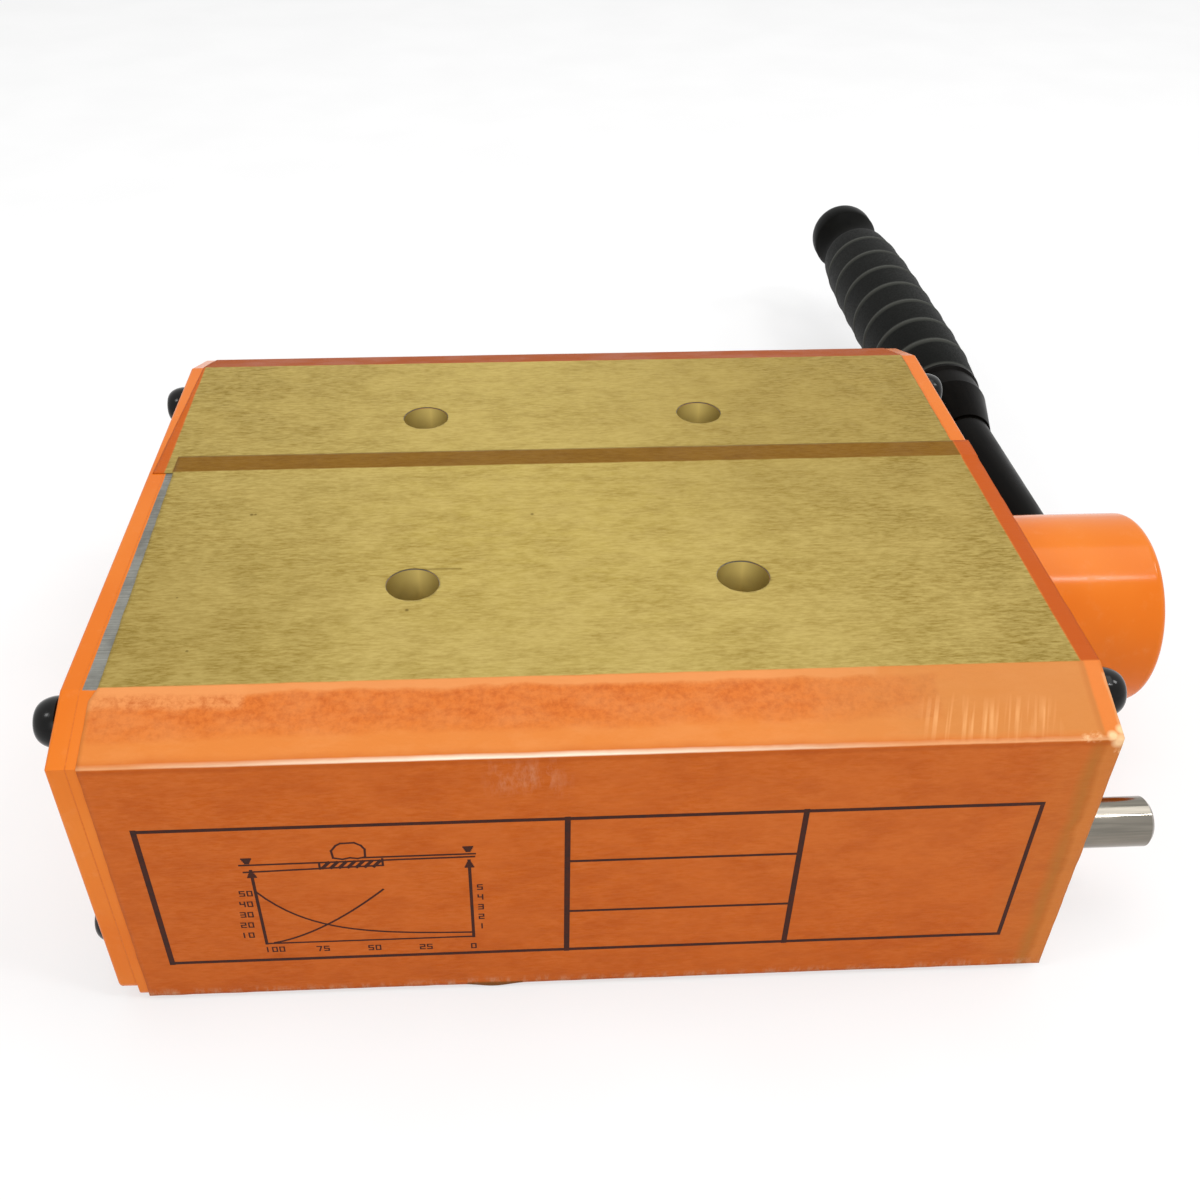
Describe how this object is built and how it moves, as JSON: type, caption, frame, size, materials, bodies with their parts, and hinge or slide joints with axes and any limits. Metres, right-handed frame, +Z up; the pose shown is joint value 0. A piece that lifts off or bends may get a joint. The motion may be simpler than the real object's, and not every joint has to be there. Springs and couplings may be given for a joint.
{
  "type": "switchable magnet base",
  "caption": "Switchable permanent magnet base: steel pole body with tapped top face and V-grooved underside, switched by a long side lever with a ribbed grip and a push button.",
  "frame": {"origin": "centre of the underside, on the plane of the pole faces, midway along the V groove", "axes": "+X along the body towards the hub, +Y to the rear, where the lever points at rest, +Z up out of the tapped top face"},
  "size_m": [0.2653, 0.3732, 0.0805],
  "materials": {
    "painted_steel": "orange stoving enamel on steel, bare ground steel on the top and the pole faces",
    "ground_aluminium": "machined aluminium",
    "nickel_magnet": "nickel-plated magnet blocks",
    "black_screw_steel": "black oxide screws",
    "bush_bronze": "sintered bronze",
    "seal_rubber": "black nitrile rubber",
    "gasket_paper": "oiled gasket paper",
    "wrap_paper": "oiled rust-proofing paper, brown and slightly see-through",
    "polished_stainless": "polished stainless steel",
    "turned_steel": "turned steel",
    "black_lever_enamel": "black enamel on steel",
    "grip_rubber": "ribbed black rubber",
    "knob_plastic": "moulded black plastic"
  },
  "bodies": {
    "housing": {"front_pole_block": "painted_steel", "rear_pole_block": "painted_steel", "bottom_divider": "ground_aluminium", "stator_magnets": "nickel_magnet", "magnet_cover_strip": "ground_aluminium", "left_end_plate": "painted_steel", "right_end_plate": "painted_steel", "left_gasket": "gasket_paper", "right_gasket": "gasket_paper", "left_plate_screws": "black_screw_steel", "right_plate_screws": "black_screw_steel", "left_bearing_carrier": "ground_aluminium", "right_bearing_carrier": "ground_aluminium", "left_shaft_bush": "bush_bronze", "right_shaft_bush": "bush_bronze", "shaft_seal": "seal_rubber", "front_stop_pin": "polished_stainless", "rear_stop_pin": "polished_stainless", "front_wrap_sheet": "wrap_paper", "rear_wrap_sheet": "wrap_paper"},
    "rotor": {"rotor_pole_front": "turned_steel", "rotor_pole_rear": "turned_steel", "rotor_magnets": "nickel_magnet", "rotor_wedges": "ground_aluminium", "left_rotor_flange": "turned_steel", "right_rotor_flange": "turned_steel", "left_flange_screws": "black_screw_steel", "right_flange_screws": "black_screw_steel", "shaft_key": "turned_steel", "lever_hub": "painted_steel", "hub_set_screw": "black_screw_steel", "lever_tube": "black_lever_enamel", "grip_cone": "black_lever_enamel", "grip_ferrule": "black_lever_enamel", "hand_grip": "grip_rubber", "spring_seat": "bush_bronze", "button_spring": "turned_steel"},
    "button": {"button_knob": "knob_plastic", "push_rod": "turned_steel", "rod_clip": "turned_steel"}
  },
  "joints": [
    {"name": "lever_turn", "type": "hinge", "parent": "housing", "child": "rotor", "pos_m": [0, 0, 0.0384], "axis": [1, 0, 0], "range_deg": [0, 180]},
    {"name": "button_press", "type": "slide", "parent": "rotor", "child": "button", "axis": [0, -1, 0], "range_m": [0, 0.006], "stiffness_N_per_m": 600, "springref_m": -0.01, "deforming": ["button_spring"]}
  ]
}
